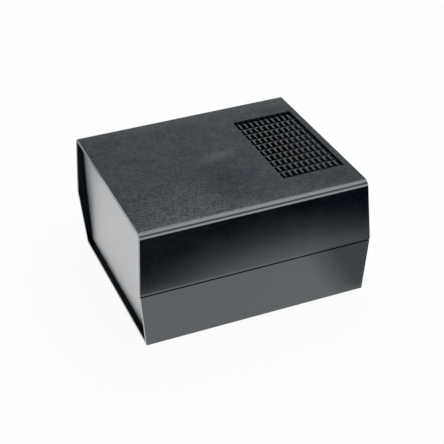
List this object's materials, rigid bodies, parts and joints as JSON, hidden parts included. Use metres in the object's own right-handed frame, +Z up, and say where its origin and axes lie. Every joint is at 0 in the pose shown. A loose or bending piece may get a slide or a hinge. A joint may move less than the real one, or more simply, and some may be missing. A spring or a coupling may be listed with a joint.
{
  "type": "desktop instrument case",
  "caption": "Two-part moulded plastic instrument case with a vent grille in the roof, flat aluminium end panels held in slots, and screws from below.",
  "frame": {"origin": "centre of the underside", "axes": "+Z up, +X towards the end panel beside the grille, long walls face -Y and +Y"},
  "size_m": [0.1978, 0.1714, 0.1062],
  "materials": {
    "shell_upper": "spark-eroded roof with smooth long walls",
    "shell_lower": "smooth semi-matt long walls",
    "panel": "satin anodised sheet",
    "screw": "black zinc"
  },
  "bodies": {
    "root": {"lower_shell": "shell_lower", "upper_shell": "shell_upper", "left_end_panel": "panel", "right_end_panel": "panel", "case_screws": "screw"}
  },
  "joints": []
}
